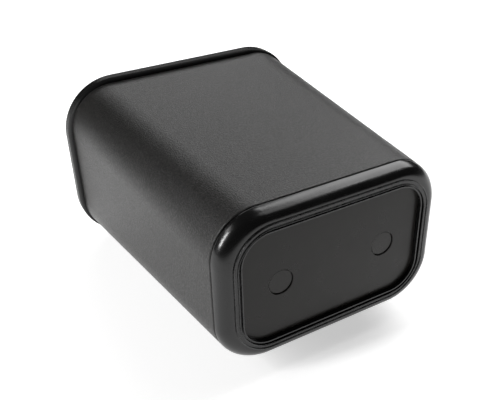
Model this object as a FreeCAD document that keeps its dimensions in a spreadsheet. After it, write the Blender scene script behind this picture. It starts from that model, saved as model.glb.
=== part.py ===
import FreeCAD, Part
import math
import os
import Sketcher
from FreeCAD import Placement, Rotation, Vector

# Countertop napkin dispenser: a tapered tub that lies on its wide side. A sprung follower
# pushes the napkin stack forward through a steel magazine to a hinged face plate.
#
# Frame: +Z up, the mouth faces -Y, +X to the right seen from the front. The origin is at the
# bottom centre of the bounding box, on the surface that the rubber feet stand on.
#
# Every sub-part is drawn about the tub's own axis: local x and z are measured from that axis,
# and "depth" runs forward from the plane of the rear ring, so local y = -depth.

doc = FreeCAD.newDocument("napkin_dispenser")
sheet = doc.addObject("Spreadsheet::Sheet", "Sizes")

SIZES = [
    # the tub outside: rear ring, parting line, mouth
    ("overall_length", 217.3), ("axis_height", 67.7), ("wall", 2.5),
    ("ring_half_width", 69.8), ("ring_half_height", 44.1), ("ring_corner", 25.9),
    ("crown_depth", 1.0), ("crown_step", 0.8), ("crown_edge", 0.8),
    ("parting_depth", 11.2), ("parting_half_width", 78.65),
    ("parting_half_height", 51.9), ("parting_corner", 29.9),
    ("shadow_gap", 0.7), ("sleeve_edge", 1.1),
    ("mouth_half_width", 94.8), ("mouth_half_height", 63.3), ("mouth_corner", 33.5),
    ("bezel_depth", 10.6), ("bezel_outset", 3.4), ("bezel_corner", 40.5),
    ("bezel_round", 2.2), ("bezel_edge", 2.8),
    # spigots of the cap and the bezel inside the sleeve
    ("fit_gap", 0.3), ("spigot_wall", 2.0), ("cap_spigot", 10.0), ("bezel_spigot", 9.0),
    # steps inside the rear ring, each measured in from the ring's outer edge
    ("ring_land", 3.3), ("bead_width", 0.85), ("valley_depth", 0.6), ("bead_edge", 0.4),
    ("groove_width", 1.5), ("groove_depth", 2.0), ("ridge_width", 0.8), ("ridge_drop", 0.6),
    ("ledge_corner", 18.5),
    ("panel_depth", 3.4), ("panel_thickness", 1.2), ("panel_gap", 0.15), ("cap_floor", 3.0),
    # round plugs over the screw wells
    ("plug_spacing", 75.0), ("plug_radius", 8.05), ("plug_ring_gap", 0.3), ("plug_sink", 0.6),
    ("plug_edge", 0.35), ("plug_hole_edge", 0.5), ("plug_stem", 7.0), ("push_fit", 0.05),
    ("well_radius", 4.2), ("well_post_radius", 7.0), ("well_floor", 4.0),
    # tie screws and nuts
    ("tie_way_radius", 2.2), ("nut_radius", 4.5), ("nut_length", 3.4), ("nut_bore", 2.05),
    # sheet steel magazine
    ("channel_half_width", 62.5), ("channel_half_height", 46.5), ("steel", 1.2),
    ("magazine_rear", 50.0), ("magazine_front", 205.5), ("bend_radius", 1.5),
    ("lip_width", 12.0), ("top_slot_setback", 12.0),
    ("flange_width", 6.5), ("flange_half_height", 18.0),
    # spring and its cup
    ("cup_radius", 23.0), ("cup_floor_depth", 24.0), ("cup_flange_radius", 30.0),
    ("cup_steel", 1.0), ("cup_play", 0.2), ("cup_rivet_offset", 18.6), ("cup_rivet_way", 1.25),
    ("coil_radius", 19.0), ("wire_radius", 1.0), ("coil_turns", 12.0),
    # follower, its glides and the spring guide
    ("follower_half_width", 60.5), ("follower_half_height", 44.5), ("follower_front", 205.3),
    ("follower_plate", 3.0), ("follower_corner", 2.0), ("follower_edge", 1.0),
    ("rim_inset", 1.8), ("rim_width", 2.0), ("rim_inner_corner", 1.5), ("follower_rib", 6.0),
    ("rib_inner", 24.0), ("rib_thickness", 2.0),
    ("glide_length", 12.3), ("glide_leg", 14.0), ("glide_clearance", 0.2), ("glide_round", 1.6),
    ("guide_length", 12.0), ("guide_play", 0.3), ("guide_wall", 2.0), ("guide_floor", 2.5),
    ("guide_hole", 1.6), ("guide_screw_way", 1.5), ("guide_screw_depth", 2.1),
    # mouth frame
    ("opening_half_width", 89.6), ("opening_half_height", 58.0), ("opening_corner", 30.0),
    ("opening_edge", 0.6), ("tray_depth", 205.5), ("tray_floor", 2.0),
    ("bezel_way_half_width", 70.0), ("bezel_way_half_height", 50.0), ("bezel_way_corner", 6.0),
    ("boss_radius", 4.5), ("boss_length", 12.0), ("boss_way", 1.6),
    ("stop_reach", 3.0), ("stop_thickness", 1.2), ("side_stop_length", 28.0),
    ("top_stop_length", 60.0), ("bumper_length", 8.0), ("bumper_height", 2.0),
    ("bumper_thickness", 0.6), ("bumper_inset", 0.2), ("shelf_drop", 4.4), ("shelf_height", 3.4),
    ("shelf_overlap", 0.8), ("joint_overlap", 0.5),
    # throat plate
    ("throat_thickness", 2.0), ("throat_inset", 1.0), ("throat_gap", 0.4),
    ("throat_corner", 3.0), ("throat_edge", 1.0), ("throat_screw_x", 72.0),
    ("throat_screw_z", 38.0), ("throat_screw_way", 1.7), ("flange_rivet_x", 66.5),
    ("flange_rivet_z", 12.0), ("flange_rivet_way", 1.5),
    # door, its lip and its hinge
    ("door_gap", 0.8), ("door_thickness", 4.0),
    ("slot_half_length", 44.0), ("slot_half_height", 22.0), ("slot_end_flat", 0.5),
    ("lip_land", 5.0), ("lip_flange", 1.6), ("lip_wall", 2.0), ("lip_play", 0.2),
    ("lip_edge", 1.2), ("lip_tail", 1.0),
    ("knuckle_radius", 3.2), ("hinge_pin_radius", 1.5), ("hinge_clearance", 0.4),
    ("pin_play", 0.06),
    # quarter-turn catch
    ("lock_offset", 76.0), ("lock_head_radius", 7.0), ("lock_head", 1.4),
    ("lock_shaft_radius", 4.5), ("lock_shaft_tail", 2.0), ("lock_slot_half_length", 6.0),
    ("lock_slot_half_width", 0.9), ("lock_slot_floor", 0.4), ("lock_spigot_radius", 2.5),
    ("lock_thread", 1.2), ("cam_setback", 4.0), ("cam_thickness", 2.0), ("cam_hub", 5.0),
    ("cam_arm_half_width", 3.2), ("cam_reach", 12.8),
    # ballast and feet
    ("ballast_half_width", 52.0), ("ballast_rear", 78.0), ("ballast_front", 176.0),
    ("ballast_thickness", 4.0), ("ballast_corner", 8.0),
    ("foot_offset", 42.0), ("rear_foot_depth", 56.0), ("front_foot_depth", 190.0),
    ("foot_radius", 9.0), ("foot_taper", 1.5), ("foot_cone", 18.0), ("foot_stem_start", 2.0),
    ("foot_stem_radius", 3.0), ("foot_head_rim", 1.5), ("foot_head", 1.8),
    ("foot_head_lift", 0.4),
]
for row, (alias, value) in enumerate(SIZES, start=1):
    sheet.set("A%d" % row, alias)
    sheet.set("B%d" % row, str(value))
    sheet.setAlias("B%d" % row, alias)
doc.recompute()

SIZE = dict(SIZES)
SLEEVE_FRONT = "(Sizes.overall_length - Sizes.bezel_depth)"
PANEL_BACK = "(Sizes.panel_depth + Sizes.panel_thickness)"
DOOR_BACK = "(Sizes.overall_length - Sizes.door_thickness)"
LINE_UP = Rotation(Vector(1, 0, 0), 90)      # turns a primitive's own axis to run forward
LINE_ACROSS = Rotation(Vector(0, 1, 0), 90)  # turns it to run along x
UPRIGHT = Rotation()
THROUGH = "Sizes.overall_length"  # longer than any part that a cut goes through
SHORT_CUT = "6"                   # for a way through one sheet with open space behind it
MARGIN = "1"                      # what a cut starts outside a face, or a pad runs into a solid
SAME_PLACE = 0.05                 # edges and corners nearer than this belong together

# head radius, head, shank radius and shank of each pan screw
SCREWS = {
    "tie_screw": (3.8, 3.0, 2.0, 9.5),
    "guide_screw": (3.0, 2.0, 1.45, 4.4),
    "throat_screw": (3.2, 2.0, 1.55, 11.0),
    "cam_screw": (2.8, 1.1, 1.2, 5.0),
}
# head radius, head, stem radius and stem of each rivet
RIVETS = {
    "cup_rivet": (2.4, 0.9, 1.25, 2.2),
    "magazine_rivet": (2.7, 1.2, 1.5, 3.2),
}
RIVET_TAIL = 1.0
RIVET_SPREAD = 1.4        # tail radius over stem radius
DRIVER_SLOT_DEPTH = 0.5   # of the screw's head
DRIVER_SLOT_WIDTH = 0.28  # of the head's radius

HINGE_LINE = "-(Sizes.opening_half_height - Sizes.door_gap)"
# start and length along x of each knuckle of the frame, of the door, and of the pin
FRAME_KNUCKLES = [(-55.0, 15.0), (-8.0, 16.0), (40.0, 15.0)]
DOOR_KNUCKLES = [(-39.5, 31.0), (8.5, 31.0)]
HINGE_PIN = (-55.0, 110.0)
BUMPER_STARTS = (-26.0, 18.0)

subparts = []


def value_of(expression):
    """Number that an expression on the sheet gives."""
    return float(sheet.evalExpression(expression.replace("Sizes.", "")))


def tapered(word, depth, inset="0"):
    """Half width, half height or corner of the sleeve's section at a depth, less an inset."""
    share = "((%s) - Sizes.parting_depth) / (%s - Sizes.parting_depth)" % (depth, SLEEVE_FRONT)
    return "Sizes.parting_%s + (Sizes.mouth_%s - Sizes.parting_%s) * %s - (%s)" % (
        word, word, word, share, inset)


def before(depth):
    """Just behind a face, where a cut through it starts."""
    return "(%s) - %s" % (depth, MARGIN)


def publish(obj, name):
    """Label a finished sub-part and set it on the tub's axis."""
    obj.Label = name
    obj.setExpression("Placement.Base.y", "(Sizes.overall_length + Sizes.knuckle_radius) / 2")
    obj.setExpression("Placement.Base.z", "Sizes.axis_height")
    subparts.append(obj)
    return obj


# ---------------------------------------------------------------- sketches and features

def new_body(name):
    return doc.addObject("PartDesign::Body", name)


def new_sketch(body, name, depth):
    """Sketch across the tub's axis at a depth; its own x and y are the tub's x and z."""
    sketch = body.newObject("Sketcher::SketchObject", name)
    plane = [f for f in body.Origin.OriginFeatures if f.Role == "XZ_Plane"][0]
    sketch.AttachmentSupport = [(plane, "")]
    sketch.MapMode = "FlatFace"
    sketch.setExpression("AttachmentOffset.Base.z", depth)
    return sketch


def drive(sketch, constraint, name, expression):
    """Add a named dimension to a sketch and bind it to the sheet."""
    index = sketch.addConstraint(constraint)
    sketch.renameConstraint(index, name)
    sketch.setExpression("Constraints." + name, expression)


def add_rounded_rectangle(sketch, half_width, half_height, corner, tag=""):
    """Closed outline centred on the axis: four lines joined by four equal arcs."""
    a = value_of(half_width)
    b = value_of(half_height)
    r = value_of(corner)
    ends = [((r - a, -b), (a - r, -b)), ((a, r - b), (a, b - r)),
            ((a - r, b), (r - a, b)), ((-a, b - r), (-a, r - b))]
    centres = [(a - r, r - b), (a - r, b - r), (r - a, b - r), (r - a, r - b)]
    lines = []
    arcs = []
    for (x0, z0), (x1, z1) in ends:
        lines.append(sketch.addGeometry(Part.LineSegment(Vector(x0, z0, 0), Vector(x1, z1, 0))))
    for quarter, (x, z) in enumerate(centres):
        circle = Part.Circle(Vector(x, z, 0), Vector(0, 0, 1), r)
        start = (quarter - 1) * math.pi / 2
        arcs.append(sketch.addGeometry(Part.ArcOfCircle(circle, start, start + math.pi / 2)))
    for i in range(4):
        sketch.addConstraint(Sketcher.Constraint("Tangent", lines[i], 2, arcs[i], 1))
        sketch.addConstraint(Sketcher.Constraint("Tangent", arcs[i], 2, lines[(i + 1) % 4], 1))
    for i in (0, 2):
        sketch.addConstraint(Sketcher.Constraint("Horizontal", lines[i]))
        sketch.addConstraint(Sketcher.Constraint("Vertical", lines[i + 1]))
    for i in (1, 2, 3):
        sketch.addConstraint(Sketcher.Constraint("Equal", arcs[0], arcs[i]))
    sketch.addConstraint(Sketcher.Constraint("Symmetric", arcs[0], 3, arcs[2], 3, -1, 1))
    drive(sketch, Sketcher.Constraint("DistanceX", lines[3], 1, lines[1], 1, 2 * a),
          "width" + tag, "2 * (%s)" % half_width)
    drive(sketch, Sketcher.Constraint("DistanceY", lines[0], 1, lines[2], 1, 2 * b),
          "height" + tag, "2 * (%s)" % half_height)
    drive(sketch, Sketcher.Constraint("Radius", arcs[0], r), "corner" + tag, corner)


def rounded_section(body, name, depth, half_width, half_height, corner):
    sketch = new_sketch(body, name, depth)
    add_rounded_rectangle(sketch, half_width, half_height, corner)
    return sketch


def add_circle(sketch, x, z, radius, tag=""):
    """Circle at a driven place; x and z are expressions that may be negative or zero."""
    at = Vector(value_of(x), value_of(z), 0)
    circle = sketch.addGeometry(Part.Circle(at, Vector(0, 0, 1), value_of(radius)))
    for axis, place in (("DistanceX", x), ("DistanceY", z)):
        if value_of(place) == 0:
            on_axis = -2 if axis == "DistanceX" else -1
            sketch.addConstraint(Sketcher.Constraint("PointOnObject", circle, 3, on_axis))
        else:
            drive(sketch, Sketcher.Constraint(axis, -1, 1, circle, 3, value_of(place)),
                  axis.lower() + tag, place)
    drive(sketch, Sketcher.Constraint("Radius", circle, value_of(radius)), "radius" + tag, radius)


def circles_sketch(body, name, depth, places, radius):
    sketch = new_sketch(body, name, depth)
    for i, (x, z) in enumerate(places):
        add_circle(sketch, x, z, radius, str(i))
    return sketch


def pad(body, sketch, length):
    """Solid from the sketch's plane forward."""
    feature = body.newObject("PartDesign::Pad", sketch.Name + "_pad")
    feature.Profile = sketch
    feature.setExpression("Length", length)
    return feature


def pocket(body, sketch, length):
    """Cut from the sketch's plane forward."""
    feature = body.newObject("PartDesign::Pocket", sketch.Name + "_pocket")
    feature.Profile = sketch
    feature.Reversed = True
    feature.setExpression("Length", length)
    return feature


def loft(body, sections, ruled=True):
    feature = body.newObject("PartDesign::AdditiveLoft", sections[0].Name + "_loft")
    feature.Profile = sections[0]
    feature.Sections = sections[1:]
    feature.Ruled = ruled
    return feature


def edges_at(feature, depth, reach):
    """Names of the edges of closed outlines in one plane across the axis that reach an x."""
    doc.recompute()
    flat = []
    for i, edge in enumerate(feature.Shape.Edges, start=1):
        box = edge.BoundBox
        if max(abs(box.YMin + depth), abs(box.YMax + depth)) < SAME_PLACE:
            flat.append((i, edge))
    chosen = []
    for wire in Part.sortEdges([edge for _, edge in flat]):
        if abs(max(edge.BoundBox.XMax for edge in wire) - reach) < SAME_PLACE:
            hashes = [edge.hashCode() for edge in wire]
            chosen += ["Edge%d" % i for i, edge in flat if edge.hashCode() in hashes]
    if not chosen:
        raise RuntimeError("no edge at depth %.2f that reaches %.2f" % (depth, reach))
    return chosen


def round_edge(body, depth, reach, radius):
    """Fillet on the outline of the tip at a depth that reaches an x."""
    base = body.Tip
    names = edges_at(base, value_of(depth), value_of(reach))
    feature = body.newObject("PartDesign::Fillet", "%s_round_%d" % (body.Name, len(body.Group)))
    feature.Base = (base, names)
    feature.setExpression("Radius", radius)
    return feature


# ---------------------------------------------------------------- primitives and booleans

def cylinder(name, x, depth, z, radius, length, turn=LINE_UP):
    """Round bar that starts at a point: forward, or along x with LINE_ACROSS."""
    bar = doc.addObject("Part::Cylinder", name)
    bar.setExpression("Radius", radius)
    bar.setExpression("Height", length)
    bar.Placement = Placement(Vector(0, 0, 0), turn)
    bar.setExpression("Placement.Base.x", x)
    bar.setExpression("Placement.Base.y", "-(%s)" % depth)
    bar.setExpression("Placement.Base.z", z)
    return bar


def block(name, x, depth, z, width, length, height):
    """Box from its lowest x and z corner, running forward from a depth."""
    box = doc.addObject("Part::Box", name)
    box.setExpression("Length", width)
    box.setExpression("Width", length)
    box.setExpression("Height", height)
    box.setExpression("Placement.Base.x", x)
    box.setExpression("Placement.Base.y", "-(%s) - (%s)" % (depth, length))
    box.setExpression("Placement.Base.z", z)
    return box


def fuse(name, shapes):
    result = doc.addObject("Part::MultiFuse", name)
    result.Shapes = shapes
    return result


def cut(name, base, tool):
    result = doc.addObject("Part::Cut", name)
    result.Base = base
    result.Tool = tool
    return result


def group(name, solids):
    """Separate solids that share one node."""
    result = doc.addObject("Part::Compound", name)
    result.Links = solids
    return result


def corners(half_x, half_z):
    """Four mirrored places."""
    return [("-(%s)" % half_x, "-(%s)" % half_z), (half_x, "-(%s)" % half_z),
            ("-(%s)" % half_x, half_z), (half_x, half_z)]


def pan_screw(name, kind, x, z, seat, front=True):
    """Screw with a slotted pan head; its head points forward, or back when front is False."""
    head_radius, head, shank_radius, shank = SCREWS[kind]
    slot_depth = head * DRIVER_SLOT_DEPTH
    slot_width = head_radius * DRIVER_SLOT_WIDTH
    head_start = seat if front else "(%s) - %s" % (seat, head)
    shank_start = "(%s) - %s" % (seat, shank) if front else seat
    slot_start = "(%s) + %s" % (seat, head - slot_depth) if front else head_start
    top = cylinder(name + "_head", x, head_start, z, str(head_radius), str(head))
    stem = cylinder(name + "_shank", x, shank_start, z, str(shank_radius), str(shank))
    slot = block(name + "_slot", "(%s) - %s" % (x, head_radius), slot_start,
                 "(%s) - %s" % (z, slot_width / 2), str(2 * head_radius), str(slot_depth),
                 str(slot_width))
    return cut(name, fuse(name + "_blank", [top, stem]), slot)


def pan_screws(kind, places, seat, front=True):
    return group(kind + "_group", [pan_screw("%s_%d" % (kind, i), kind, x, z, seat, front)
                                   for i, (x, z) in enumerate(places)])


def rivets(kind, places, seat):
    """Rivets with their made heads forward of the seat and upset tails behind."""
    head_radius, head, stem_radius, stem = RIVETS[kind]
    made = []
    for i, (x, z) in enumerate(places):
        name = "%s_%d" % (kind, i)
        made.append(fuse(name, [
            cylinder(name + "_head", x, seat, z, str(head_radius), str(head)),
            cylinder(name + "_stem", x, "(%s) - %s" % (seat, stem), z, str(stem_radius), str(stem)),
            cylinder(name + "_tail", x, "(%s) - %s" % (seat, stem + RIVET_TAIL), z,
                     str(stem_radius * RIVET_SPREAD), str(RIVET_TAIL))]))
    return group(kind + "_group", made)


# ---------------------------------------------------------------- sleeve and feet

def tub_outline(depth, inset="0"):
    """Half width, half height and corner of the sleeve's section at a depth, less an inset."""
    return [tapered(word, depth, inset) for word in ("half_width", "half_height", "corner")]


def tub_solid(name, inset, rear, front):
    """Solid of the tapered tub between two depths, inset all round."""
    body = new_body(name)
    loft(body, [rounded_section(body, "%s_%s" % (name, end), depth, *tub_outline(depth, inset))
                for end, depth in (("rear", rear), ("front", front))])
    return body


def make_foot(end, sign, side, tub):
    """Rubber foot: a cone trimmed to the tub's taper, a stem through the wall and a head inside."""
    name = "foot_%s_%s" % (end, side)
    x = sign + "Sizes.foot_offset"
    depth = "Sizes.%s_foot_depth" % end
    inner_floor = "-(%s)" % tapered("half_height", depth, "Sizes.wall")
    cone = doc.addObject("Part::Cone", name + "_cone")
    cone.setExpression("Radius1", "Sizes.foot_radius")
    cone.setExpression("Radius2", "Sizes.foot_radius - Sizes.foot_taper")
    cone.setExpression("Height", "Sizes.foot_cone")
    cone.setExpression("Placement.Base.x", x)
    cone.setExpression("Placement.Base.y", "-" + depth)
    cone.setExpression("Placement.Base.z", "-Sizes.axis_height")
    sole = cut(name + "_sole", cone, tub)
    stem = cylinder(name + "_stem", x, depth, "-Sizes.axis_height + Sizes.foot_stem_start",
                    "Sizes.foot_stem_radius - Sizes.push_fit",
                    "(%s) + Sizes.axis_height - Sizes.foot_stem_start + Sizes.foot_head / 2"
                    % inner_floor, UPRIGHT)
    head = cylinder(name + "_head", x, depth, "(%s) + Sizes.foot_head_lift" % inner_floor,
                    "Sizes.foot_stem_radius + Sizes.foot_head_rim", "Sizes.foot_head", UPRIGHT)
    publish(fuse(name, [sole, stem, head]), name)
    return cylinder(name + "_hole", x, depth, "-Sizes.axis_height", "Sizes.foot_stem_radius",
                    "Sizes.foot_cone", UPRIGHT)


def make_sleeve_and_feet():
    rear = "Sizes.parting_depth + Sizes.shadow_gap"
    outside = tub_solid("tub_outside", "0", rear, SLEEVE_FRONT)
    round_edge(outside, rear, tapered("half_width", rear), "Sizes.sleeve_edge")
    inside = tub_solid("tub_inside", "Sizes.wall", before("Sizes.parting_depth"),
                       SLEEVE_FRONT + " + " + MARGIN)
    holes = [make_foot(end, sign, side, outside) for end in ("rear", "front")
             for side, sign in (("left", "-"), ("right", ""))]
    publish(cut("sleeve", outside, fuse("sleeve_hollow", [inside] + holes)), "sleeve")


# ---------------------------------------------------------------- rear cap, panel and plugs

PLUG_PLACES = [("-Sizes.plug_spacing / 2", "0"), ("Sizes.plug_spacing / 2", "0")]
GROOVE_INSET = "Sizes.ring_land + Sizes.groove_width"
LEDGE_INSET = GROOVE_INSET + " + Sizes.ridge_width"
CROWN_SHARES = (0, 0.22, 0.46, 0.72, 1)  # of a quarter turn, from the ring to the parting line


def crown_section(body, share):
    """Section of the bullnose, a quarter ellipse from the ring's step to the parting line."""
    turn = share * math.pi / 2
    back = 1 - math.cos(turn)
    depth = "Sizes.crown_depth + (Sizes.parting_depth - Sizes.crown_depth) * %.6f" % back
    start = "Sizes.ring_%s + Sizes.crown_step"
    outline = []
    for word in ("half_width", "half_height", "corner"):
        near = start % word
        outline.append("%s + (Sizes.parting_%s - (%s)) * %.6f" % (near, word, near, math.sin(turn)))
    return rounded_section(body, "crown_%d" % round(share * 100), depth, *outline)


def ring_inset(amount):
    """Half width and half height of an outline inside the rear ring's outer edge."""
    return ["Sizes.ring_%s - (%s)" % (word, amount) for word in ("half_width", "half_height")]


def cut_trench(cap, name, depth, outer, inner, length):
    """Groove between two outlines, each given as half width, half height and corner."""
    trench = new_sketch(cap, name, depth)
    add_rounded_rectangle(trench, *outer, "_outer")
    add_rounded_rectangle(trench, *inner, "_inner")
    pocket(cap, trench, length)


def make_rear_cap():
    cap = new_body("rear_cap_body")
    loft(cap, [crown_section(cap, share) for share in CROWN_SHARES], ruled=False)
    ring = rounded_section(cap, "ring", "0", "Sizes.ring_half_width", "Sizes.ring_half_height",
                           "Sizes.ring_corner")
    pad(cap, ring, "Sizes.crown_depth + " + MARGIN)
    spigot = tub_outline("Sizes.parting_depth", "Sizes.wall + Sizes.fit_gap")
    pad(cap, rounded_section(cap, "spigot", "Sizes.parting_depth", *spigot), "Sizes.cap_spigot")
    floor = PANEL_BACK + " + Sizes.cap_floor"
    hollow = tub_outline("Sizes.parting_depth", "Sizes.wall + Sizes.fit_gap + Sizes.spigot_wall")
    pocket(cap, rounded_section(cap, "cap_hollow", floor, *hollow), THROUGH)

    land = "Sizes.ring_land"
    second_bead = land + " - Sizes.bead_width"
    land_corner = "Sizes.ring_corner - Sizes.ring_land"
    pocket(cap, rounded_section(cap, "ridge_top", "0", *ring_inset(land), land_corner),
           "Sizes.ridge_drop")
    cut_trench(cap, "valley", "0",
               ring_inset("Sizes.bead_width") + ["Sizes.ring_corner - Sizes.bead_width"],
               ring_inset(second_bead) + [land_corner + " + Sizes.bead_width"],
               "Sizes.valley_depth")
    cut_trench(cap, "trench", "Sizes.ridge_drop", ring_inset(land) + [land_corner],
               ring_inset(GROOVE_INSET) + ["Sizes.ledge_corner + Sizes.ridge_width"],
               "Sizes.groove_depth - Sizes.ridge_drop")
    recess = rounded_section(cap, "recess", "Sizes.ridge_drop", *ring_inset(LEDGE_INSET),
                             "Sizes.ledge_corner")
    pocket(cap, recess, PANEL_BACK + " - Sizes.ridge_drop")

    pad(cap, circles_sketch(cap, "posts", before(floor), PLUG_PLACES, "Sizes.well_post_radius"),
        "Sizes.magazine_rear - (%s)" % before(floor))
    well_end = "Sizes.magazine_rear - Sizes.well_floor"
    pocket(cap, circles_sketch(cap, "wells", PANEL_BACK, PLUG_PLACES, "Sizes.well_radius"),
           well_end + " - " + PANEL_BACK)
    pocket(cap, circles_sketch(cap, "screw_ways", before(well_end), PLUG_PLACES,
                               "Sizes.tie_way_radius"), THROUGH)
    for edge in ("0", "Sizes.bead_width", second_bead, land):
        round_edge(cap, "0", "Sizes.ring_half_width - (%s)" % edge, "Sizes.bead_edge")
    round_edge(cap, "Sizes.parting_depth", "Sizes.parting_half_width", "Sizes.crown_edge")
    publish(cap, "rear_cap")


def make_rear_panel_and_plugs():
    panel = new_body("rear_panel_body")
    outline = ring_inset(LEDGE_INSET + " + Sizes.panel_gap")
    outline.append("Sizes.ledge_corner - Sizes.panel_gap")
    pad(panel, rounded_section(panel, "panel_outline", "Sizes.panel_depth", *outline),
        "Sizes.panel_thickness")
    pocket(panel, circles_sketch(panel, "panel_holes", before("Sizes.panel_depth"), PLUG_PLACES,
                                 "Sizes.plug_radius + Sizes.plug_ring_gap"), THROUGH)
    for x, _ in PLUG_PLACES:
        round_edge(panel, "Sizes.panel_depth", x + " + Sizes.plug_radius + Sizes.plug_ring_gap",
                   "Sizes.plug_hole_edge")
    publish(panel, "rear_panel")

    face = "Sizes.panel_depth + Sizes.plug_sink"
    for side, (x, z) in zip(("left", "right"), PLUG_PLACES):
        plug = new_body("plug_%s_body" % side)
        pad(plug, circles_sketch(plug, side + "_disc", face, [(x, z)], "Sizes.plug_radius"),
            "%s - (%s)" % (PANEL_BACK, face))
        pad(plug, circles_sketch(plug, side + "_stem", PANEL_BACK, [(x, z)],
                                 "Sizes.well_radius - Sizes.push_fit"), "Sizes.plug_stem")
        round_edge(plug, face, x + " + Sizes.plug_radius", "Sizes.plug_edge")
        publish(plug, "screw_plug_" + side)


# ---------------------------------------------------------------- magazine and its fasteners

FLANGE_RIVET_PLACES = corners("Sizes.flange_rivet_x", "Sizes.flange_rivet_z")
CUP_RIVET_PLACES = corners("Sizes.cup_rivet_offset", "Sizes.cup_rivet_offset")
THROAT_SCREW_PLACES = corners("Sizes.throat_screw_x", "Sizes.throat_screw_z")


def make_magazine():
    body = new_body("magazine_body")
    rear = "Sizes.magazine_rear"
    inner = ["Sizes.channel_half_width", "Sizes.channel_half_height", "Sizes.bend_radius"]
    outer = [size + " + Sizes.steel" for size in inner]
    pad(body, rounded_section(body, "magazine_outside", rear, *outer),
        "Sizes.magazine_front - " + rear)
    pocket(body, rounded_section(body, "magazine_inside", rear + " + Sizes.steel", *inner), THROUGH)
    pocket(body, circles_sketch(body, "cup_way", before(rear), [("0", "0")],
                                "Sizes.cup_radius + Sizes.cup_play"), THROUGH)
    pocket(body, circles_sketch(body, "tie_ways", before(rear), PLUG_PLACES,
                                "Sizes.tie_way_radius"), THROUGH)
    slot_half = "(Sizes.channel_half_width - Sizes.lip_width)"
    cuts = [block("magazine_top_slot", "-" + slot_half, rear + " + Sizes.top_slot_setback",
                  "Sizes.channel_half_height - " + MARGIN, "2 * " + slot_half, THROUGH, SHORT_CUT)]
    flanges = [
        block("magazine_flange_" + side, x, "Sizes.magazine_front - Sizes.steel",
              "-Sizes.flange_half_height", "Sizes.flange_width", "Sizes.steel",
              "2 * Sizes.flange_half_height")
        for side, x in (("left", "-Sizes.channel_half_width - Sizes.flange_width"),
                        ("right", "Sizes.channel_half_width"))]
    for i, (x, z) in enumerate(FLANGE_RIVET_PLACES):
        cuts.append(cylinder("rivet_way_%d" % i, x, "Sizes.magazine_front - " + SHORT_CUT, z,
                             "Sizes.flange_rivet_way", "2 * " + SHORT_CUT))
    for i, (x, z) in enumerate(CUP_RIVET_PLACES):
        cuts.append(cylinder("cup_way_%d" % i, x, before(rear), z, "Sizes.cup_rivet_way", SHORT_CUT))
    blank = fuse("magazine_blank", [body] + flanges)
    publish(cut("magazine", blank, fuse("magazine_cuts", cuts)), "magazine")


def make_ties():
    """Screws in the cap's wells and the nuts behind them in the magazine."""
    publish(pan_screws("tie_screw", PLUG_PLACES, "Sizes.magazine_rear - Sizes.well_floor",
                       front=False), "tie_screws")
    seat = "Sizes.magazine_rear + Sizes.steel"
    nuts = []
    for i, (x, z) in enumerate(PLUG_PLACES):
        nuts.append(cut("tie_nut_%d" % i,
                        cylinder("tie_nut_%d_blank" % i, x, seat, z, "Sizes.nut_radius",
                                 "Sizes.nut_length"),
                        cylinder("tie_nut_%d_bore" % i, x, before(seat), z, "Sizes.nut_bore",
                                 SHORT_CUT)))
    publish(group("tie_nut_group", nuts), "tie_nuts")


def make_ballast():
    under = "-Sizes.channel_half_height - Sizes.steel"
    slab = block("ballast_slab", "-Sizes.ballast_half_width", "Sizes.ballast_rear",
                 under + " - Sizes.ballast_thickness", "2 * Sizes.ballast_half_width",
                 "Sizes.ballast_front - Sizes.ballast_rear", "Sizes.ballast_thickness")
    rounded = doc.addObject("Part::Fillet", "ballast_rounded")
    rounded.Base = slab
    doc.recompute()
    upright = [i for i, edge in enumerate(slab.Shape.Edges, start=1)
               if edge.BoundBox.ZLength > SIZE["ballast_thickness"] - SAME_PLACE]
    rounded.Edges = [(i, SIZE["ballast_corner"], SIZE["ballast_corner"]) for i in upright]
    publish(rounded, "ballast_plate")


# ---------------------------------------------------------------- feed spring and its cup

def make_spring_cup():
    cup = new_body("spring_cup_body")
    seat = "Sizes.magazine_rear + Sizes.steel"
    centre = [("0", "0")]
    pad(cup, circles_sketch(cup, "cup_flange", seat, centre, "Sizes.cup_flange_radius"),
        "Sizes.cup_steel")
    pad(cup, circles_sketch(cup, "cup_outside", "Sizes.cup_floor_depth", centre, "Sizes.cup_radius"),
        seat + " - Sizes.cup_floor_depth + Sizes.cup_steel")
    pocket(cup, circles_sketch(cup, "cup_inside", "Sizes.cup_floor_depth + Sizes.cup_steel", centre,
                               "Sizes.cup_radius - Sizes.cup_steel"), THROUGH)
    pocket(cup, circles_sketch(cup, "cup_rivet_ways", before(seat), CUP_RIVET_PLACES,
                               "Sizes.cup_rivet_way"), THROUGH)
    publish(cup, "spring_cup")
    publish(rivets("cup_rivet", CUP_RIVET_PLACES, seat + " + Sizes.cup_steel"), "cup_rivets")


def make_spring():
    """Feed spring: a round-wire coil between the cup floor and the follower's back."""
    start = "Sizes.cup_floor_depth + Sizes.cup_steel + Sizes.wire_radius"
    end = "Sizes.follower_front - Sizes.follower_plate - Sizes.wire_radius"
    length = "(%s - (%s))" % (end, start)
    helix = doc.addObject("Part::Helix", "coil_path")
    helix.setExpression("Radius", "Sizes.coil_radius")
    helix.setExpression("Height", length)
    helix.setExpression("Pitch", length + " / Sizes.coil_turns")
    section = doc.addObject("Part::Circle", "wire_section")
    section.setExpression("Radius", "Sizes.wire_radius")
    section.Placement = Placement(Vector(0, 0, 0), LINE_UP)
    section.setExpression("Placement.Base.x", "Sizes.coil_radius")
    coil = doc.addObject("Part::Sweep", "feed_spring")
    coil.Sections = [section]
    coil.Spine = (helix, [])
    coil.Solid = True
    coil.Frenet = True
    coil.Placement = Placement(Vector(0, 0, 0), LINE_UP)
    publish(coil, "feed_spring")
    coil.setExpression("Placement.Base.y",
                       "(Sizes.overall_length + Sizes.knuckle_radius) / 2 - (%s)" % start)


# ---------------------------------------------------------------- follower

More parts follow.
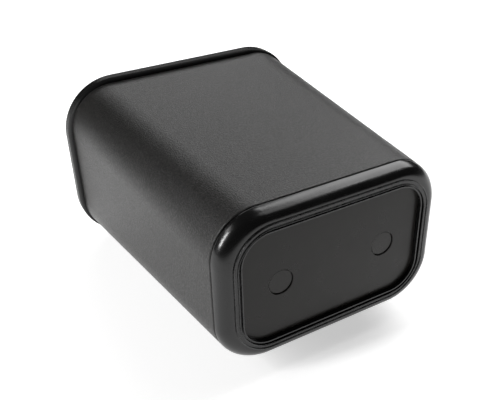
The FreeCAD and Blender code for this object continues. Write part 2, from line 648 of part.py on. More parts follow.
def make_follower():
    body = new_body("follower_body")
    back = "Sizes.follower_front - Sizes.follower_plate"
    rib_back = back + " - Sizes.follower_rib"
    outline = ["Sizes.follower_half_width", "Sizes.follower_half_height"]
    outer = [size + " - Sizes.rim_inset" for size in outline]
    inner = [size + " - Sizes.rim_width" for size in outer]
    pad(body, rounded_section(body, "follower_outline", back, *outline, "Sizes.follower_corner"),
        "Sizes.follower_plate")
    rim = new_sketch(body, "follower_rim", rib_back)
    add_rounded_rectangle(rim, *outer, "Sizes.follower_corner", "_outer")
    add_rounded_rectangle(rim, *inner, "Sizes.rim_inner_corner", "_inner")
    pad(body, rim, "Sizes.follower_rib")
    pocket(body, circles_sketch(body, "guide_screw_way", before(back), [("0", "0")],
                                "Sizes.guide_screw_way"), "Sizes.guide_screw_depth + " + MARGIN)
    round_edge(body, "Sizes.follower_front", "Sizes.follower_half_width", "Sizes.follower_edge")
    rim_middle = "(%s - Sizes.rim_width / 2)" % outer[0]
    ribs = [block("follower_rib_%s" % side, x, rib_back, "-Sizes.rib_thickness / 2",
                  rim_middle + " - Sizes.rib_inner", "Sizes.follower_rib + Sizes.joint_overlap",
                  "Sizes.rib_thickness")
            for side, x in (("left", "-" + rim_middle), ("right", "Sizes.rib_inner"))]
    publish(fuse("follower", [body] + ribs), "follower")


def make_glide(name, left, low):
    """Angle-shaped shoe on one corner of the follower, its outer corner rounded."""
    reach_x = "(Sizes.channel_half_width - Sizes.glide_clearance)"
    reach_z = "(Sizes.channel_half_height - Sizes.glide_clearance)"
    start = "Sizes.follower_front - Sizes.glide_length"
    side = block(name + "_side", "-" + reach_x if left else "Sizes.follower_half_width", start,
                 "-" + reach_z if low else reach_z + " - Sizes.glide_leg",
                 reach_x + " - Sizes.follower_half_width", "Sizes.glide_length", "Sizes.glide_leg")
    flat = block(name + "_flat", "-" + reach_x if left else reach_x + " - Sizes.glide_leg", start,
                 "-" + reach_z if low else "Sizes.follower_half_height",
                 "Sizes.glide_leg", "Sizes.glide_length", reach_z + " - Sizes.follower_half_height")
    angle = fuse(name + "_blank", [side, flat])
    rounded = doc.addObject("Part::Fillet", name)
    rounded.Base = angle
    doc.recompute()
    outer = [i for i, edge in enumerate(angle.Shape.Edges, start=1)
             if abs(abs(edge.CenterOfMass.x) - value_of(reach_x)) < SAME_PLACE
             and abs(abs(edge.CenterOfMass.z) - value_of(reach_z)) < SAME_PLACE]
    rounded.Edges = [(i, SIZE["glide_round"], SIZE["glide_round"]) for i in outer]
    return rounded


def make_glides_and_guide():
    glides = [make_glide("glide_%d%d" % (left, low), left, low)
              for low in (True, False) for left in (True, False)]
    publish(group("glide_group", glides), "follower_glides")

    back = "Sizes.follower_front - Sizes.follower_plate"
    guide_back = back + " - Sizes.guide_length"
    radius = "Sizes.coil_radius - Sizes.wire_radius - Sizes.guide_play"
    blank = cylinder("guide_blank", "0", guide_back, "0", radius, "Sizes.guide_length")
    hollow = cylinder("guide_hollow", "0", before(guide_back), "0", radius + " - Sizes.guide_wall",
                      "Sizes.guide_length - Sizes.guide_floor + " + MARGIN)
    hole = cylinder("guide_hole", "0", guide_back, "0", "Sizes.guide_hole", THROUGH)
    publish(cut("spring_guide", blank, fuse("guide_cuts", [hollow, hole])), "spring_guide")
    publish(pan_screws("guide_screw", [("0", "0")], back + " - Sizes.guide_floor", front=False),
            "guide_screw")


# ---------------------------------------------------------------- mouth frame

def hinge_bars(prefix, spans, radius, play=0.0):
    """Bars on the hinge line, one for each (start, length) along x, longer by play at both ends."""
    return [cylinder("%s_%d" % (prefix, i), str(start - play), "Sizes.overall_length", HINGE_LINE,
                     radius, str(length + 2 * play), LINE_ACROSS)
            for i, (start, length) in enumerate(spans)]


def knuckle_ways(prefix, spans):
    """Room round the other side's knuckles."""
    return hinge_bars(prefix, spans, "Sizes.knuckle_radius + Sizes.hinge_clearance",
                      SIZE["hinge_clearance"])


def make_bezel_body():
    """Band round the mouth, its spigot in the sleeve, and the tray that the door closes."""
    body = new_body("front_bezel_body")
    band = ["Sizes.mouth_%s + Sizes.bezel_outset" % w for w in ("half_width", "half_height")]
    opening = ["Sizes.opening_half_width", "Sizes.opening_half_height", "Sizes.opening_corner"]
    pad(body, rounded_section(body, "band", SLEEVE_FRONT, *band, "Sizes.bezel_corner"),
        "Sizes.bezel_depth")
    spigot_rear = SLEEVE_FRONT + " - Sizes.bezel_spigot"
    spigot = tub_outline(spigot_rear, "Sizes.wall + Sizes.fit_gap")
    pad(body, rounded_section(body, "bezel_spigot", spigot_rear, *spigot), "Sizes.bezel_spigot")
    pocket(body, rounded_section(body, "tray", "Sizes.tray_depth", *opening), THROUGH)
    behind = [size + " - Sizes.spigot_wall" for size in spigot]
    pocket(body, rounded_section(body, "bezel_hollow", spigot_rear, *behind),
           "Sizes.tray_depth - Sizes.tray_floor - (%s)" % spigot_rear)
    pocket(body, rounded_section(body, "bezel_way", spigot_rear, "Sizes.bezel_way_half_width",
                                 "Sizes.bezel_way_half_height", "Sizes.bezel_way_corner"), THROUGH)
    boss_rear = "Sizes.tray_depth - Sizes.boss_length"
    pad(body, circles_sketch(body, "bosses", boss_rear, THROAT_SCREW_PLACES, "Sizes.boss_radius"),
        "Sizes.boss_length - Sizes.tray_floor / 2")
    pocket(body, circles_sketch(body, "boss_ways", before(boss_rear), THROAT_SCREW_PLACES,
                                "Sizes.boss_way"), THROUGH)
    round_edge(body, "Sizes.overall_length", band[0], "Sizes.bezel_round")
    round_edge(body, SLEEVE_FRONT, band[0], "Sizes.bezel_edge")
    round_edge(body, "Sizes.overall_length", opening[0], "Sizes.opening_edge")
    return body


def make_front_bezel():
    side_stop = DOOR_BACK + " - Sizes.stop_thickness"
    top_stop = side_stop + " - Sizes.bumper_thickness"
    stop_size = ["Sizes.stop_reach + Sizes.joint_overlap", "Sizes.stop_thickness"]
    solids = [make_bezel_body()]
    for side, x in (("left", "-Sizes.opening_half_width - Sizes.joint_overlap"),
                    ("right", "Sizes.opening_half_width - Sizes.stop_reach")):
        solids.append(block("side_stop_" + side, x, side_stop, "-Sizes.side_stop_length / 2",
                            *stop_size, "Sizes.side_stop_length"))
    solids.append(block("top_stop", "-Sizes.top_stop_length / 2", top_stop,
                        "Sizes.opening_half_height - Sizes.stop_reach", "Sizes.top_stop_length",
                        *reversed(stop_size)))
    for i, (start, length) in enumerate(FRAME_KNUCKLES):
        solids.append(block("knuckle_shelf_%d" % i, str(start),
                            "Sizes.overall_length - Sizes.shelf_overlap",
                            HINGE_LINE + " - Sizes.shelf_drop", str(length),
                            "Sizes.knuckle_radius + Sizes.shelf_overlap", "Sizes.shelf_height"))
    solids += hinge_bars("frame_knuckle", FRAME_KNUCKLES, "Sizes.knuckle_radius")
    ways = knuckle_ways("door_knuckle_way", DOOR_KNUCKLES)
    ways += hinge_bars("frame_pin_way", [HINGE_PIN], "Sizes.hinge_pin_radius")
    publish(cut("front_bezel", fuse("bezel_blank", solids), fuse("bezel_ways", ways)), "front_bezel")

    pin = hinge_bars("hinge_pin_bar", [HINGE_PIN], "Sizes.hinge_pin_radius")
    publish(group("hinge_pin_group", pin), "hinge_pin")
    bumpers = [block("bumper_%d" % i, str(start), top_stop + " + Sizes.stop_thickness",
                     "Sizes.opening_half_height - Sizes.stop_reach + Sizes.bumper_inset",
                     "Sizes.bumper_length", "Sizes.bumper_thickness", "Sizes.bumper_height")
               for i, start in enumerate(BUMPER_STARTS)]
    publish(group("bumper_group", bumpers), "door_bumpers")


def make_throat_plate():
    body = new_body("throat_plate_body")
    outer = ["Sizes.opening_%s - Sizes.throat_gap" % w for w in ("half_width", "half_height", "corner")]
    way = ["Sizes.channel_%s - Sizes.throat_inset" % w for w in ("half_width", "half_height")]
    behind = before("Sizes.tray_depth")
    face = "Sizes.tray_depth + Sizes.throat_thickness"
    pad(body, rounded_section(body, "throat_outline", "Sizes.tray_depth", *outer),
        "Sizes.throat_thickness")
    pocket(body, rounded_section(body, "throat_way", behind, *way, "Sizes.throat_corner"), THROUGH)
    pocket(body, circles_sketch(body, "throat_screw_ways", behind, THROAT_SCREW_PLACES,
                                "Sizes.throat_screw_way"), THROUGH)
    pocket(body, circles_sketch(body, "throat_rivet_ways", behind, FLANGE_RIVET_PLACES,
                                "Sizes.flange_rivet_way"), THROUGH)
    round_edge(body, face, way[0], "Sizes.throat_edge")
    publish(body, "throat_plate")
    publish(pan_screws("throat_screw", THROAT_SCREW_PLACES, face), "throat_screws")
    publish(rivets("magazine_rivet", FLANGE_RIVET_PLACES, face), "magazine_rivets")


# ---------------------------------------------------------------- door and catch

def slot_outline(body, name, depth, margin):
    """Sketch of the slot with round ends, larger all round by a margin."""
    half_length = "Sizes.slot_half_length + (%s)" % margin
    half_height = "Sizes.slot_half_height + (%s)" % margin
    return rounded_section(body, name, depth, half_length, half_height,
                           half_height + " - Sizes.slot_end_flat")


def make_face_plate():
    body = new_body("face_plate_body")
    outline = ["Sizes.opening_%s - Sizes.door_gap" % w for w in ("half_width", "half_height", "corner")]
    pad(body, rounded_section(body, "door_outline", DOOR_BACK, *outline), "Sizes.door_thickness")
    pocket(body, slot_outline(body, "door_slot", before(DOOR_BACK),
                              "Sizes.lip_wall + Sizes.lip_play"), THROUGH)
    pocket(body, circles_sketch(body, "lock_way", before(DOOR_BACK), [("Sizes.lock_offset", "0")],
                                "Sizes.lock_shaft_radius + Sizes.push_fit"), THROUGH)
    blank = fuse("face_plate_blank", [body] + hinge_bars("door_knuckle", DOOR_KNUCKLES,
                                                         "Sizes.knuckle_radius"))
    ways = knuckle_ways("frame_knuckle_way", FRAME_KNUCKLES)
    ways += hinge_bars("door_pin_way", [HINGE_PIN], "Sizes.hinge_pin_radius + Sizes.pin_play")
    publish(cut("face_plate", blank, fuse("door_ways", ways)), "face_plate")


def make_dispensing_lip():
    """Flange round the slot, a tube through the door, and the smooth way for the napkin."""
    body = new_body("dispensing_lip_body")
    pad(body, slot_outline(body, "lip_flange", "Sizes.overall_length", "Sizes.lip_land"),
        "Sizes.lip_flange")
    tube_rear = DOOR_BACK + " - Sizes.lip_tail"
    pad(body, slot_outline(body, "lip_tube", tube_rear, "Sizes.lip_wall"),
        "Sizes.overall_length - (%s) + Sizes.lip_flange / 2" % tube_rear)
    pocket(body, slot_outline(body, "lip_way", before(tube_rear), "0"), THROUGH)
    round_edge(body, "Sizes.overall_length + Sizes.lip_flange",
               "Sizes.slot_half_length + Sizes.lip_land", "Sizes.lip_edge")
    publish(body, "dispensing_lip")


def make_catch():
    x = "Sizes.lock_offset"
    cam_back = DOOR_BACK + " - Sizes.cam_setback"
    shaft_back = DOOR_BACK + " - Sizes.lock_shaft_tail"
    head = cylinder("lock_head", x, "Sizes.overall_length", "0", "Sizes.lock_head_radius",
                    "Sizes.lock_head")
    shaft = cylinder("lock_shaft", x, shaft_back, "0", "Sizes.lock_shaft_radius",
                     "Sizes.overall_length - (%s) + Sizes.lock_head / 2" % shaft_back)
    spigot = cylinder("lock_spigot", x, cam_back, "0", "Sizes.lock_spigot_radius",
                      "Sizes.cam_thickness + " + MARGIN)
    slot = block("lock_slot", x + " - Sizes.lock_slot_half_length",
                 "Sizes.overall_length + Sizes.lock_slot_floor", "-Sizes.lock_slot_half_width",
                 "2 * Sizes.lock_slot_half_length", SHORT_CUT, "2 * Sizes.lock_slot_half_width")
    thread = cylinder("lock_thread", x, before(cam_back), "0", "Sizes.lock_thread", SHORT_CUT)
    publish(cut("lock_barrel", fuse("lock_blank", [head, shaft, spigot]),
                fuse("lock_cuts", [slot, thread])), "lock_barrel")

    hub = cylinder("cam_disc", x, cam_back, "0", "Sizes.cam_hub", "Sizes.cam_thickness")
    arm = block("cam_arm", x + " - Sizes.cam_arm_half_width", cam_back, "0",
                "2 * Sizes.cam_arm_half_width", "Sizes.cam_thickness", "Sizes.cam_reach")
    bore = cylinder("cam_bore", x, before(cam_back), "0", "Sizes.lock_spigot_radius", SHORT_CUT)
    publish(cut("lock_cam", fuse("cam_blank", [hub, arm]), bore), "lock_cam")
    publish(pan_screws("cam_screw", [(x, "0")], cam_back, front=False), "cam_screw")


# ---------------------------------------------------------------- build, check, write

make_sleeve_and_feet()
make_rear_cap()
make_rear_panel_and_plugs()
make_magazine()
make_ties()
make_ballast()
make_spring_cup()
make_spring()
make_follower()
make_glides_and_guide()
make_throat_plate()
make_front_bezel()
make_face_plate()
make_dispensing_lip()
make_catch()
doc.recompute()

failed = [obj.Name for obj in doc.Objects if "Invalid" in obj.State or "Error" in obj.State]
for obj in subparts:
    if obj.Shape.isNull() or not obj.Shape.isValid() or not obj.Shape.Solids:
        failed.append(obj.Label)
if failed:
    raise RuntimeError("failed objects: " + ", ".join(failed))

os.makedirs("parts", exist_ok=True)
for obj in subparts:
    obj.Shape.exportStep("parts/%s.step" % obj.Label)
    print("%-18s %2d solids %10.1f mm3" % (obj.Label, len(obj.Shape.Solids), obj.Shape.Volume))
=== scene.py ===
import math

import bpy
from mathutils import Matrix, Vector


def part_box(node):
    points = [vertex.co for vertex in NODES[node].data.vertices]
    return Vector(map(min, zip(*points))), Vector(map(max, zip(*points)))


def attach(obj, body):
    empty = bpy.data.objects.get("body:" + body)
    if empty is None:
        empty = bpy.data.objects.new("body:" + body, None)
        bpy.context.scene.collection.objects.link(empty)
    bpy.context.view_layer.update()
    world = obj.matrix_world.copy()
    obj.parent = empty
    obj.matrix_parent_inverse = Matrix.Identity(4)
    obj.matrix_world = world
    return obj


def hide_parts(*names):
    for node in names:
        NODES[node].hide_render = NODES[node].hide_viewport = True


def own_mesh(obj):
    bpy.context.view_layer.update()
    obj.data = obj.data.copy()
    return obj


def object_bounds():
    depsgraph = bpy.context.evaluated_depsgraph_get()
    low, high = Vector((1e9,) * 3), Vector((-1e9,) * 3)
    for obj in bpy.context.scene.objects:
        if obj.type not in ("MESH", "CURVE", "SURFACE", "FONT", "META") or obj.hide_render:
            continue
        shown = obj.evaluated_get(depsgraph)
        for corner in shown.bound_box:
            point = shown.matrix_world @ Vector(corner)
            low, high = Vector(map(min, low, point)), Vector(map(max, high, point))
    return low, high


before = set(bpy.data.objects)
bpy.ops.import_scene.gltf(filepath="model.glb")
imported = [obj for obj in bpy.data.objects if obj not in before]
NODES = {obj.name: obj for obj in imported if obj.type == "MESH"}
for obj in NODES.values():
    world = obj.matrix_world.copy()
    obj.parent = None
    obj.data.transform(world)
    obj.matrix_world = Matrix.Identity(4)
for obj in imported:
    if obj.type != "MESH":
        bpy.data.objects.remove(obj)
CAD_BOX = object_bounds()

# All lengths are metres and all angles degrees, unless a line says otherwise.
HALF_WIDTH = CAD_BOX[1][0]    # the band round the mouth is the widest piece
# painted reflection: between these |x| values the band's sides are painted paler, standing in for the
# pale floor they mirror
PAINTED_SIDES_BLEND = (HALF_WIDTH - 0.0132, HALF_WIDTH - 0.0012)    # |x| where its paler sides start and are full

FLOOR_RADIUS = 6.0
POOL_CENTRE = (-0.3, -0.5, 0.0)    # middle of the lit part of the floor
POOL_FADE = (0.98, 1.45)      # distances from there between which the light dies away
FLOOR_GLOW = 0.52
SURROUND_STRENGTH = 0.04

LIGHT_AIM = Vector((0.03, 0.03, 0.07))
LIGHT_DISTANCE = 1.5
# name, azimuth from +X, elevation, (width, height), watts
SOFTBOXES = (
    ("key_left", 356, 27, (0.2, 0.8), 17.5),
    ("key_left_high", 338, 43, (0.2, 0.4), 1.5),
    ("back_right", 198, 45, (1.15, 1.04), 16.8),
    ("back_high", 155, 63, (0.45, 0.5), 1.1),
    ("back_fill", 250, 29, (0.9, 0.5), 3.4),
)

CAMERA_VIEW = Vector((0.4144, 0.7541, 0.5094))    # from the object towards the camera
CAMERA_AIM = Vector((0.0346, 0.0671, 0.1027))
CAMERA_DISTANCE = 0.4069
CAMERA_ROLL = -1.84
CAMERA_SENSOR = 36.0          # mm
CAMERA_LENS = 48.5            # mm


# ---------------------------------------------------------------- shader helpers

class Shader:
    """A node material built step by step; every helper returns an output socket."""

    def __init__(self, name):
        self.material = bpy.data.materials.new(name)
        self.material.use_nodes = True
        self.tree = self.material.node_tree
        self.bsdf = self.tree.nodes["Principled BSDF"]
        self.place = self.add("ShaderNodeTexCoord").outputs["Object"]

    def add(self, kind, **values):
        node = self.tree.nodes.new(kind)
        for key, value in values.items():
            setattr(node, key, value)
        return node

    def feed(self, socket, value):
        if isinstance(value, bpy.types.NodeSocket):
            self.tree.links.new(value, socket)
        else:
            socket.default_value = value

    def scaled(self, factors):
        """Object coordinates stretched along x, y and z."""
        node = self.add("ShaderNodeMapping")
        self.feed(node.inputs["Vector"], self.place)
        node.inputs["Scale"].default_value = factors
        return node.outputs["Vector"]

    def noise(self, scale, detail=3.0, roughness=0.55, vector=None):
        node = self.add("ShaderNodeTexNoise")
        self.feed(node.inputs["Vector"], vector or self.place)
        node.inputs["Scale"].default_value = scale
        node.inputs["Detail"].default_value = detail
        node.inputs["Roughness"].default_value = roughness
        return node.outputs["Fac"]

    def cells(self, scale, vector=None):
        node = self.add("ShaderNodeTexVoronoi")
        self.feed(node.inputs["Vector"], vector or self.place)
        node.inputs["Scale"].default_value = scale
        return node.outputs["Distance"]

    def remap(self, value, low, high, to_low, to_high):
        node = self.add("ShaderNodeMapRange")
        self.feed(node.inputs["Value"], value)
        for key, number in (("From Min", low), ("From Max", high), ("To Min", to_low),
                            ("To Max", to_high)):
            node.inputs[key].default_value = number
        return node.outputs["Result"]

    def math(self, operation, a, b):
        node = self.add("ShaderNodeMath", operation=operation)
        self.feed(node.inputs[0], a)
        self.feed(node.inputs[1], b)
        return node.outputs[0]

    def mix(self, share, a, b):
        """Colour a where share is 0 and b where it is 1."""
        node = self.add("ShaderNodeMix", data_type="RGBA")
        self.feed(node.inputs["Factor"], share)
        self.feed(node.inputs["A"], a)
        self.feed(node.inputs["B"], b)
        return node.outputs["Result"]

    def edges(self, radius):
        """1 along convex and concave edges within a radius, 0 on flat ground."""
        bevel = self.add("ShaderNodeBevel", samples=4)
        bevel.inputs["Radius"].default_value = radius
        geometry = self.add("ShaderNodeNewGeometry")
        dot = self.add("ShaderNodeVectorMath", operation="DOT_PRODUCT")
        self.feed(dot.inputs[0], bevel.outputs["Normal"])
        self.feed(dot.inputs[1], geometry.outputs["Normal"])
        return self.remap(dot.outputs["Value"], 0.995, 0.90, 0.0, 1.0)

    def bump(self, heights):
        """Chain of bumps, each (height socket, distance in metres, strength)."""
        normal = None
        for height, distance, strength in heights:
            node = self.add("ShaderNodeBump")
            node.inputs["Strength"].default_value = strength
            node.inputs["Distance"].default_value = distance
            self.feed(node.inputs["Height"], height)
            if normal is not None:
                self.feed(node.inputs["Normal"], normal)
            normal = node.outputs["Normal"]
        self.feed(self.bsdf.inputs["Normal"], normal)

    def set(self, **values):
        for key, value in values.items():
            self.feed(self.bsdf.inputs[key.replace("_", " ")], value)


def grey(level, warmth=0.0):
    return (level * (1 + warmth), level, level * (1 - warmth), 1.0)


# ---------------------------------------------------------------- materials

def grained_plastic():
    """Spark-eroded satin black of the sleeve: fine pitted grain over a faint mottling."""
    s = Shader("grained_plastic")
    grain = s.noise(1000, detail=3.0, roughness=0.7)
    pits = s.cells(1400)
    mottling = s.noise(35, detail=4.0)
    wear = s.math("MULTIPLY", s.edges(0.0008), s.remap(s.noise(160), 0.35, 0.7, 0.0, 1.0))
    base = s.mix(s.remap(mottling, 0.3, 0.7, 0.0, 1.0), grey(0.002, 0.08), grey(0.005, 0.08))
    base = s.mix(s.remap(grain, 0.48, 0.58, 0.0, 1.0), base, grey(0.023, 0.05))
    base = s.mix(s.math("MULTIPLY", wear, 0.35), base, grey(0.08))
    s.set(Base_Color=base, Specular_IOR_Level=0.42)
    s.set(Roughness=s.remap(grain, 0.3, 0.7, 0.46, 0.31))
    s.bump([(pits, 0.00018, 0.7), (grain, 0.00026, 0.8), (mottling, 0.0004, 0.1)])
    return s.material


def gloss_plastic(name, level=0.003, roughness=0.2, shine=0.45, painted_side_level=None):
    """Polished black moulding: slow waviness, fine hairlines, slightly dulled edges.

    Given a side level, the two sides get a paler base colour than the top and bottom: a painted
    reflection of the pale floor.
    """
    s = Shader(name)
    waviness = s.noise(22, detail=2.0)
    smudges = s.noise(60, detail=5.0, roughness=0.65)
    hairlines = s.noise(420, detail=2.0, vector=s.scaled((0.12, 1.0, 1.6)))
    wear = s.math("MULTIPLY", s.edges(0.0007), s.remap(s.noise(240), 0.3, 0.7, 0.2, 1.0))
    base = s.mix(smudges, grey(level), grey(level * 1.5))
    base = s.mix(s.math("MULTIPLY", wear, 0.4), base, grey(0.15))
    if painted_side_level is not None:
        # painted reflection: the sides' base colour is painted paler where they would mirror the pale
        # floor
        across = s.add("ShaderNodeSeparateXYZ")
        s.feed(across.inputs[0], s.place)
        painted_side_mask = s.remap(s.math("ABSOLUTE", across.outputs["X"], 0.0), *PAINTED_SIDES_BLEND, 0.0, 1.0)
        base = s.mix(painted_side_mask, base, grey(painted_side_level))
    rough = s.remap(smudges, 0.3, 0.75, roughness - 0.03, roughness + 0.07)
    rough = s.math("ADD", rough, s.remap(hairlines, 0.60, 0.75, 0.0, 0.08))
    rough = s.math("ADD", rough, s.math("MULTIPLY", wear, 0.12))
    s.set(Base_Color=base, Roughness=rough, Specular_IOR_Level=shine)
    s.bump([(waviness, 0.0006, 0.10), (hairlines, 0.00004, 0.15)])
    return s.material


def satin_plastic(name, level=0.02, roughness=0.34, warmth=0.0, shine=0.5):
    """Smooth moulded plastic with a fine etched surface, faint flow marks and handling marks."""
    s = Shader(name)
    etch = s.noise(2600, detail=2.0)
    flow = s.noise(18, detail=3.0, vector=s.scaled((1.0, 1.0, 2.5)))
    smudges = s.noise(75, detail=5.0, roughness=0.65)
    wear = s.math("MULTIPLY", s.edges(0.0006), s.remap(s.noise(260), 0.3, 0.7, 0.2, 1.0))
    base = s.mix(s.remap(flow, 0.3, 0.7, 0.0, 1.0), grey(level * 0.9, warmth),
                 grey(level * 1.15, warmth))
    base = s.mix(s.math("MULTIPLY", wear, 0.3), base, grey(min(1.0, level * 1.6 + 0.04), warmth))
    rough = s.remap(smudges, 0.3, 0.75, roughness - 0.05, roughness + 0.08)
    s.set(Base_Color=base, Roughness=rough, Specular_IOR_Level=shine)
    s.bump([(etch, 0.00003, 0.35), (flow, 0.0003, 0.08)])
    return s.material


def sheet_steel(name, along=(1.0, 0.04, 1.0), level=0.55, roughness=0.36):
    """Zinc-plated sheet: rolling lines, spangle and bright cut edges."""
    s = Shader(name)
    rolling = s.noise(900, detail=3.0, vector=s.scaled(along))
    spangle = s.cells(140)
    stains = s.noise(40, detail=5.0, roughness=0.6)
    wear = s.edges(0.0005)
    base = s.mix(s.remap(stains, 0.35, 0.7, 0.0, 1.0), grey(level, 0.01), grey(level * 0.8, 0.02))
    base = s.mix(s.remap(spangle, 0.0, 0.6, 0.0, 0.25), base, grey(level * 1.25))
    base = s.mix(s.math("MULTIPLY", wear, 0.5), base, grey(0.8))
    rough = s.remap(rolling, 0.3, 0.7, roughness - 0.07, roughness + 0.1)
    s.set(Base_Color=base, Roughness=rough, Metallic=1.0, Anisotropic=0.4)
    s.bump([(rolling, 0.00003, 0.4), (spangle, 0.00002, 0.2)])
    return s.material


def bright_metal(name, level=0.72, roughness=0.14):
    """Plated turned metal: fine lathe rings and light scratches."""
    s = Shader(name)
    turning = s.noise(1800, detail=2.0, vector=s.scaled((1.0, 0.05, 1.0)))
    scratches = s.noise(600, detail=3.0, vector=s.scaled((0.1, 1.0, 1.4)))
    base = s.mix(scratches, grey(level), grey(level * 0.86))
    base = s.mix(s.math("MULTIPLY", s.edges(0.0004), 0.4), base, grey(0.9))
    rough = s.remap(scratches, 0.35, 0.75, roughness, roughness + 0.14)
    s.set(Base_Color=base, Roughness=rough, Metallic=1.0)
    s.bump([(turning, 0.00002, 0.35), (scratches, 0.00002, 0.25)])
    return s.material


def foot_rubber():
    """Matte rubber: chalky bloom, fine mould grain and scuffed soles."""
    s = Shader("foot_rubber")
    bloom = s.noise(90, detail=5.0, roughness=0.6)
    grain = s.noise(1700, detail=2.0)
    base = s.mix(s.remap(bloom, 0.35, 0.7, 0.0, 1.0), grey(0.02, 0.02), grey(0.04, 0.03))
    base = s.mix(s.math("MULTIPLY", s.edges(0.0008), 0.5), base, grey(0.07, 0.03))
    s.set(Base_Color=base, Roughness=s.remap(bloom, 0.3, 0.7, 0.7, 0.9), Specular_IOR_Level=0.4)
    s.bump([(grain, 0.00008, 0.5)])
    return s.material


FASTENERS = bright_metal("fastener_zinc", level=0.6, roughness=0.24)
SHEET = sheet_steel("zinc_sheet")
GLOSS = gloss_plastic("gloss_black")
PLUG = satin_plastic("plug_satin", level=0.009, roughness=0.3, warmth=0.15, shine=0.27)
ACETAL = satin_plastic("acetal_white", level=0.72, roughness=0.38, warmth=0.02)

FINISHES = {
    "sleeve": grained_plastic(),
    "rear_cap": GLOSS,
    # the bezel's paler sides are a painted reflection of the floor
    "front_bezel": gloss_plastic("bezel_gloss", level=0.007, roughness=0.26, shine=0.03,
                                 painted_side_level=0.05),
    "rear_panel": satin_plastic("panel_satin", level=0.008, roughness=0.3, warmth=0.15, shine=0.24),
    "screw_plug_left": PLUG,
    "screw_plug_right": PLUG,
    "face_plate": gloss_plastic("door_gloss", level=0.009, roughness=0.16),
    "dispensing_lip": satin_plastic("lip_satin", level=0.025, roughness=0.4),
    "throat_plate": satin_plastic("throat_matte", level=0.035, roughness=0.5),
    "follower": satin_plastic("follower_grey", level=0.5, roughness=0.45, warmth=0.01),
    "follower_glides": ACETAL,
    "spring_guide": ACETAL,
    "magazine": SHEET,
    "spring_cup": SHEET,
    "ballast_plate": sheet_steel("ballast_zinc", along=(0.05, 1.0, 1.0), level=0.42, roughness=0.45),
    "feed_spring": bright_metal("spring_wire", level=0.42, roughness=0.28),
    "hinge_pin": FASTENERS,
    "lock_barrel": bright_metal("lock_chrome", level=0.78, roughness=0.12),
    "lock_cam": sheet_steel("cam_zinc", level=0.6),
    "door_bumpers": foot_rubber(),
}
for fastener in ("tie_screws", "tie_nuts", "cup_rivets", "guide_screw", "throat_screws",
                 "magazine_rivets", "cam_screw"):
    FINISHES[fastener] = FASTENERS
for end in ("front", "rear"):
    for side in ("left", "right"):
        FINISHES["foot_%s_%s" % (end, side)] = FINISHES["door_bumpers"]

for node, material in FINISHES.items():
    mesh = NODES[node].data
    mesh.materials.clear()
    mesh.materials.append(material)


# ---------------------------------------------------------------- feed spring

def feed_spring():
    """Round-wire coil with closed end turns, in place of the plain CAD sweep."""
    low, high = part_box("feed_spring")
    wire = 0.001              # radius
    turns = 12
    steps = 40                # points on one turn
    closed = 0.75 / turns     # share of the wire in the nearly flat turn at each end
    flat_rise = 0.03          # share of the length climbed evenly along the whole wire
    radius = (high.x - low.x) / 2 - wire
    centre = Vector(((low.x + high.x) / 2, 0, (low.z + high.z) / 2))
    rear = high.y - wire
    length = high.y - low.y - 2 * wire
    curve = bpy.data.curves.new("feed_coil", "CURVE")
    curve.dimensions = "3D"
    curve.bevel_depth = wire
    curve.bevel_resolution = 4
    curve.use_fill_caps = True
    spline = curve.splines.new("POLY")
    spline.points.add(turns * steps)
    for i, point in enumerate(spline.points):
        share = i / (turns * steps)
        eased = min(max((share - closed) / (1 - 2 * closed), 0.0), 1.0)
        run = flat_rise * share + (1 - flat_rise) * eased
        turn = 2 * math.pi * turns * share
        place = centre + Vector((radius * math.cos(turn), rear - length * run,
                                 radius * math.sin(turn)))
        point.co = (*place, 1.0)
    coil = bpy.data.objects.new("feed_coil", curve)
    bpy.context.scene.collection.objects.link(coil)
    depsgraph = bpy.context.evaluated_depsgraph_get()
    mesh = bpy.data.meshes.new_from_object(coil.evaluated_get(depsgraph))
    bpy.data.objects.remove(coil)
    mesh.materials.clear()
    mesh.materials.append(FINISHES["feed_spring"])
    for polygon in mesh.polygons:
        polygon.use_smooth = True
    piece = bpy.data.objects.new("feed_coil", mesh)
    bpy.context.scene.collection.objects.link(piece)
    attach(piece, "housing")
    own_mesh(piece)
    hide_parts("feed_spring")


feed_spring()


# ---------------------------------------------------------------- studio

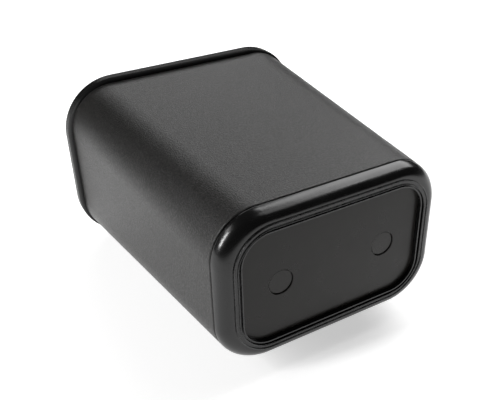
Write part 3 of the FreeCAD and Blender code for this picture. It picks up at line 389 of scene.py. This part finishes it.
def make_floor():
    """Large disc under the object with a painted pool of light: near the object it glows and is pale,
    further away its colour is painted dark grey.
    """
    bpy.ops.mesh.primitive_circle_add(vertices=96, radius=FLOOR_RADIUS, fill_type="NGON",
                                      location=(0, 0, 0))
    floor = bpy.context.object
    floor.name = "studio_floor"
    s = Shader("studio_floor")
    haze = s.noise(3.0, detail=2.0)
    reach = s.add("ShaderNodeVectorMath", operation="DISTANCE")
    s.feed(reach.inputs[0], s.place)
    reach.inputs[1].default_value = POOL_CENTRE
    # painted pool of light and painted shade: inside the pool the floor glows and is pale, outside it
    # its base colour is painted dark grey
    lit = s.remap(reach.outputs["Value"], *POOL_FADE, 1.0, 0.0)
    pale = s.mix(haze, grey(0.90), grey(0.93))
    s.set(Base_Color=s.mix(lit, grey(0.25), pale), Roughness=0.9, Specular_IOR_Level=0.1)
    s.set(Emission_Color=grey(1.0), Emission_Strength=s.math("MULTIPLY", lit, FLOOR_GLOW))
    floor.data.materials.append(s.material)


def softbox(name, azimuth, elevation, size, power):
    """Rectangular light on a sphere round LIGHT_AIM, facing it."""
    data = bpy.data.lights.new(name, "AREA")
    data.shape = "RECTANGLE"
    data.size, data.size_y = size
    data.energy = power
    light = bpy.data.objects.new(name, data)
    turn = math.radians(azimuth)
    rise = math.radians(elevation)
    away = Vector((math.cos(rise) * math.cos(turn), math.cos(rise) * math.sin(turn),
                   math.sin(rise)))
    light.location = LIGHT_AIM + away * LIGHT_DISTANCE
    light.rotation_euler = away.to_track_quat("Z", "Y").to_euler()
    bpy.context.scene.collection.objects.link(light)


def make_world():
    """Dim studio surround."""
    world = bpy.data.worlds.new("studio")
    world.use_nodes = True
    bpy.context.scene.world = world
    background = world.node_tree.nodes["Background"]
    background.inputs["Color"].default_value = (1, 1, 1, 1)
    background.inputs["Strength"].default_value = SURROUND_STRENGTH


def make_camera():
    """View from behind and above, off the +X corner, with the horizon tipped a little."""
    view = CAMERA_VIEW.normalized()
    data = bpy.data.cameras.new("camera")
    data.sensor_width = CAMERA_SENSOR
    data.lens = CAMERA_LENS
    camera = bpy.data.objects.new("camera", data)
    roll = Matrix.Rotation(math.radians(CAMERA_ROLL), 3, "Z")
    turn = view.to_track_quat("Z", "Y").to_matrix() @ roll
    camera.matrix_world = Matrix.Translation(CAMERA_AIM + view * CAMERA_DISTANCE) @ turn.to_4x4()
    bpy.context.scene.collection.objects.link(camera)
    bpy.context.scene.camera = camera


make_floor()
make_world()
for box in SOFTBOXES:
    softbox(*box)
make_camera()
bpy.context.scene.view_settings.view_transform = "Standard"
